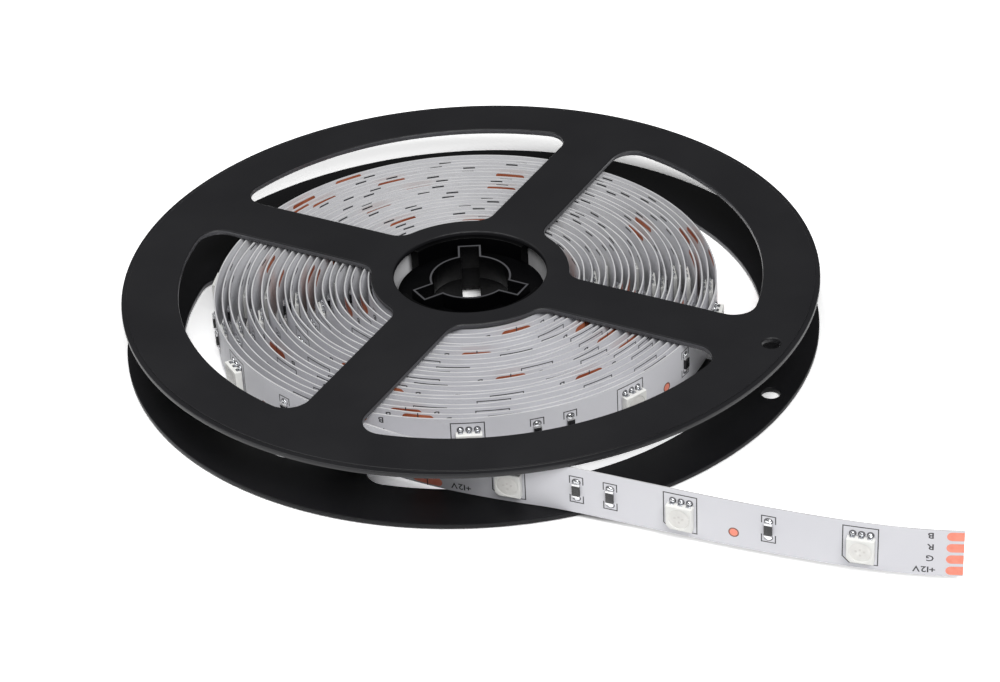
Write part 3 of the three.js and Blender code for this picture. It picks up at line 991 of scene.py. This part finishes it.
def light_legend(distance, open_one):
    left = LIGHT_BOX_LEFT
    right = LIGHT_BOX_RIGHT
    low = LIGHT_BOX_LOW
    high = LIGHT_BOX_HIGH
    if not open_one:
        return bracket_strokes(distance, left, right, WOUND_BOX_HIGH, WOUND_BOX_ARM)
    box = [(right, low), (right, high), (left, high), (left, low + LIGHT_BOX_CORNER),
           (left + LIGHT_BOX_CORNER, low), (right, low)]
    return path_strokes(distance, box)


def resistor_legend(distance):
    half = CHIP_BOX_HALF
    return (bracket_strokes(distance, -half, half, CHIP_BOX_HIGH, CHIP_BOX_ARM)
            + bracket_strokes(distance, -half, half, CHIP_BOX_LOW, -CHIP_BOX_ARM))


def painted_gap_shadow(distance):
    """A dark dash on the back near its upper edge: painted shadow of the gap where the turns part at a
    light or chip.
    """
    left = (-GAP_SHADOW_HALF, GAP_SHADOW_UP)
    right = (GAP_SHADOW_HALF, GAP_SHADOW_UP)
    return stroke(distance, left, right, -STRIP_THICKNESS - LEGEND_OUT, GAP_SHADOW_LINE)


def letter_shape(character):
    """A letter's flat mesh, one unit in size, centred, from the built-in typeface, and its width."""
    data = bpy.data.curves.new("letter", "FONT")
    data.body = character
    data.size = 1
    data.resolution_u = LETTER_CURVE_STEPS
    data.offset = LETTER_BOLDNESS
    holder = bpy.data.objects.new("letter", data)
    mesh = bpy.data.meshes.new_from_object(holder)
    points = np.array([tuple(vertex.co)[:2] for vertex in mesh.vertices])
    faces = [tuple(polygon.vertices) for polygon in mesh.polygons]
    bpy.data.objects.remove(holder)
    bpy.data.curves.remove(data)
    bpy.data.meshes.remove(mesh)
    width = points[:, 0].max() - points[:, 0].min()
    points[:, 0] -= points[:, 0].min() + width / 2
    points[:, 1] -= LETTER_HEIGHT_IN_TYPE / 2
    return points, faces, width


LETTERS = {character: letter_shape(character) for character in "BRG+12V"}


def word(distance, name, side, up):
    """A pad's name beside it, in letters turned upside down, as they are printed towards this end."""
    size = LETTER_HEIGHT / LETTER_HEIGHT_IN_TYPE
    right = side * (LETTER_AT if len(name) == 1 else WORD_AT)
    widths = [LETTERS[character][2] * size * LETTER_STRETCH for character in name]
    reach = (sum(widths) + LETTER_GAP * (len(widths) - 1)) / 2
    parts = []
    for character, width in zip(name, widths):
        points, faces, _ = LETTERS[character]
        flipped = points * (-size * LETTER_STRETCH, -size) + (reach - width / 2 + right, up)
        parts.append((laid(distance, flipped, LEGEND_OUT), faces, [0] * len(faces)))
        reach -= width + LETTER_GAP
    return parts


def make_legend():
    parts = []
    for distance in light_distances():
        parts += light_legend(distance, distance < OPEN_LENGTH + LIGHT_PITCH)
    for distance in resistor_distances():
        parts += resistor_legend(distance)
    # Dark dashes on the backs in the roll, in the ink: painted shadow of the gaps between the turns.
    for distance in [*light_distances(), *resistor_distances()]:
        if distance > OPEN_LENGTH:
            parts.append(painted_gap_shadow(distance))
    for up, name in zip(PAD_UPS, PAD_NAMES):
        parts += word(0, name, -1, up)
    cut_line = STRIP_WIDTH / 2 - CUT_LINE_SHORT
    for distance in cut_distances():
        names = PAD_NAMES if distance < OPEN_LENGTH + ALL_NAMES_WITHIN else PAD_NAMES[:1]
        for up, name in zip(PAD_UPS, names):
            for side in (-1, 1):
                parts += word(distance, name, side, up)
        parts.append(stroke(distance, (0, -cut_line), (0, cut_line)))
    make_piece("strip_legend_and_gap_shadows", join_parts(parts), (INK_AND_GAP_SHADOW,), PRINT_SMOOTH_ANGLE)


# Bare copper


def pad(distance, up, towards, out=COPPER_OUT, width=PAD_WIDTH):
    """A bare copper pad from the cut line, with its far end round; towards is 1 for right, -1 for left."""
    radius = width / 2
    straight = PAD_LENGTH - radius
    rows = [(0, radius), (straight / 2, radius), (straight, radius)]
    rows += [(straight + radius * math.sin(angle), radius * math.cos(angle))
             for angle in np.radians(PAD_END_ANGLES)]
    points = [(towards * right, up + half) for right, half in rows]
    points += [(towards * right, up - half) for right, half in rows]
    count = len(rows)
    vertices = laid(distance, points, out)
    faces = []
    for index in range(count - 1):
        face = (index, count + index, count + index + 1, index + 1)
        faces.append(face if (towards > 0) == (out > 0) else tuple(reversed(face)))
    return vertices, faces, [0] * len(faces)


def test_dot(distance, radius, out):
    outline = [point + (0, DOT_UP) for point in circle(radius, DOT_SIDES)]
    vertices = laid(distance, [(0, DOT_UP), *outline], out)
    faces = [(0, 1 + side, 1 + (side + 1) % DOT_SIDES) for side in range(DOT_SIDES)]
    return vertices, faces, [0] * len(faces)


def make_pads():
    back = -STRIP_THICKNESS - COPPER_OUT
    parts = [painted(pad(0, up, -1), ON_BARE) for up in PAD_UPS]
    for distance in cut_distances():
        # Pads in the roll get the darker copy of the copper: painted shade.
        finish = ON_BARE if distance < OPEN_LENGTH else ON_SHADED_COPPER
        for up in PAD_UPS:
            for towards in (-1, 1):
                parts.append(painted(pad(distance, up, towards), finish))
        for towards in (-1, 1):
            parts.append(painted(pad(distance, BACK_PAD_UP, towards, back, BACK_PAD_WIDTH), ON_SHADED_COPPER))
    before, after = cut_starts()
    for start in [*before, *after]:
        place = start + DOT_AFTER_FIRST_LIGHT
        if place < RUN[-1]:
            # A dark ring under each dot: painted shadow at the edge of its opening.
            parts.append(painted(test_dot(place, DOT_SHADOW_RADIUS, COPPER_OUT), ON_DOT_SHADOW))
            parts.append(painted(test_dot(place, DOT_RADIUS, 2 * COPPER_OUT), ON_BARE))
    make_piece("strip_pads", join_parts(parts), PAD_FINISHES, PRINT_SMOOTH_ANGLE)


# Camera, stage and light


def make_camera():
    tilt = math.radians(CAMERA_ELEVATION)
    roll = math.radians(CAMERA_ROLL)
    forward = Vector((0, math.cos(tilt), -math.sin(tilt)))
    up = Vector((0, math.sin(tilt), math.cos(tilt)))
    side = Vector((1, 0, 0))
    rolled_side = math.cos(roll) * side + math.sin(roll) * up
    rolled_up = -math.sin(roll) * side + math.cos(roll) * up
    right, down, ahead = CAMERA_OFFSET
    place = -(right * rolled_side - down * rolled_up + ahead * forward)
    data = bpy.data.cameras.new("camera")
    data.sensor_width = SENSOR_WIDTH
    data.lens = CAMERA_FOCAL_PX * SENSOR_WIDTH / IMAGE_WIDTH_PX
    data.clip_start = CAMERA_NEAREST
    camera = bpy.data.objects.new("camera", data)
    bpy.context.collection.objects.link(camera)
    matrix = Matrix((rolled_side, rolled_up, -forward)).transposed().to_4x4()
    matrix.translation = (place + Vector(AXIS)) * MM
    camera.matrix_world = matrix
    bpy.context.scene.camera = camera


def make_stage():
    """A pale floor, which the camera and glossy reflections see as white where the lamps light it."""
    floor_material, tree, shader = new_material("stage_floor")
    tree.nodes.remove(shader)
    paper = tree.nodes.new("ShaderNodeBsdfDiffuse")
    rays = tree.nodes.new("ShaderNodeLightPath")
    either = tree.nodes.new("ShaderNodeMath")
    either.operation = "MAXIMUM"
    tree.links.new(rays.outputs["Is Camera Ray"], either.inputs[0])
    tree.links.new(rays.outputs["Is Glossy Ray"], either.inputs[1])
    tone = map_range(tree, either.outputs[0], FLOOR_TONE, FLOOR_TONE_SEEN, 0, 1)
    tree.links.new(tone, paper.inputs["Color"])
    tree.links.new(paper.outputs[0], tree.nodes["Material Output"].inputs["Surface"])
    mesh = bpy.data.meshes.new("stage_floor")
    corners = [(x * FLOOR_HALF, y * FLOOR_HALF, 0) for x, y in ((-1, -1), (1, -1), (1, 1), (-1, 1))]
    mesh.from_pydata(corners, [], [(0, 1, 2, 3)])
    mesh.materials.append(floor_material)
    floor = bpy.data.objects.new("stage_floor", mesh)
    bpy.context.collection.objects.link(floor)


def make_lamp(name, place, width, height, watts):
    """A soft lamp aimed at the object."""
    data = bpy.data.lights.new(name, "AREA")
    data.shape = "RECTANGLE"
    data.size = width
    data.size_y = height
    data.energy = watts
    lamp = bpy.data.objects.new(name, data)
    bpy.context.collection.objects.link(lamp)
    lamp.location = place
    lamp.rotation_euler = (-Vector(place)).to_track_quat("-Z", "Y").to_euler()


def make_light():
    world = bpy.data.worlds.new("world")
    bpy.context.scene.world = world
    world.use_nodes = True
    tree = world.node_tree
    background = tree.nodes["Background"]
    background.inputs["Color"].default_value = (1, 1, 1, 1)
    rays = tree.nodes.new("ShaderNodeLightPath")
    strength = map_range(tree, rays.outputs["Is Camera Ray"], WORLD_STRENGTH, WORLD_STRENGTH_SEEN, 0, 1)
    tree.links.new(strength, background.inputs["Strength"])
    for lamp in LAMPS:
        make_lamp(*lamp)


make_camera()
make_reel_half("reel_half_top", "upper_reel_half", True)
make_reel_half("reel_half_bottom", "lower_reel_half", False)
make_strip()
make_lights()
make_resistors()
make_legend()
make_pads()
make_stage()
make_light()

scene = bpy.context.scene
scene.view_settings.view_transform = "Standard"
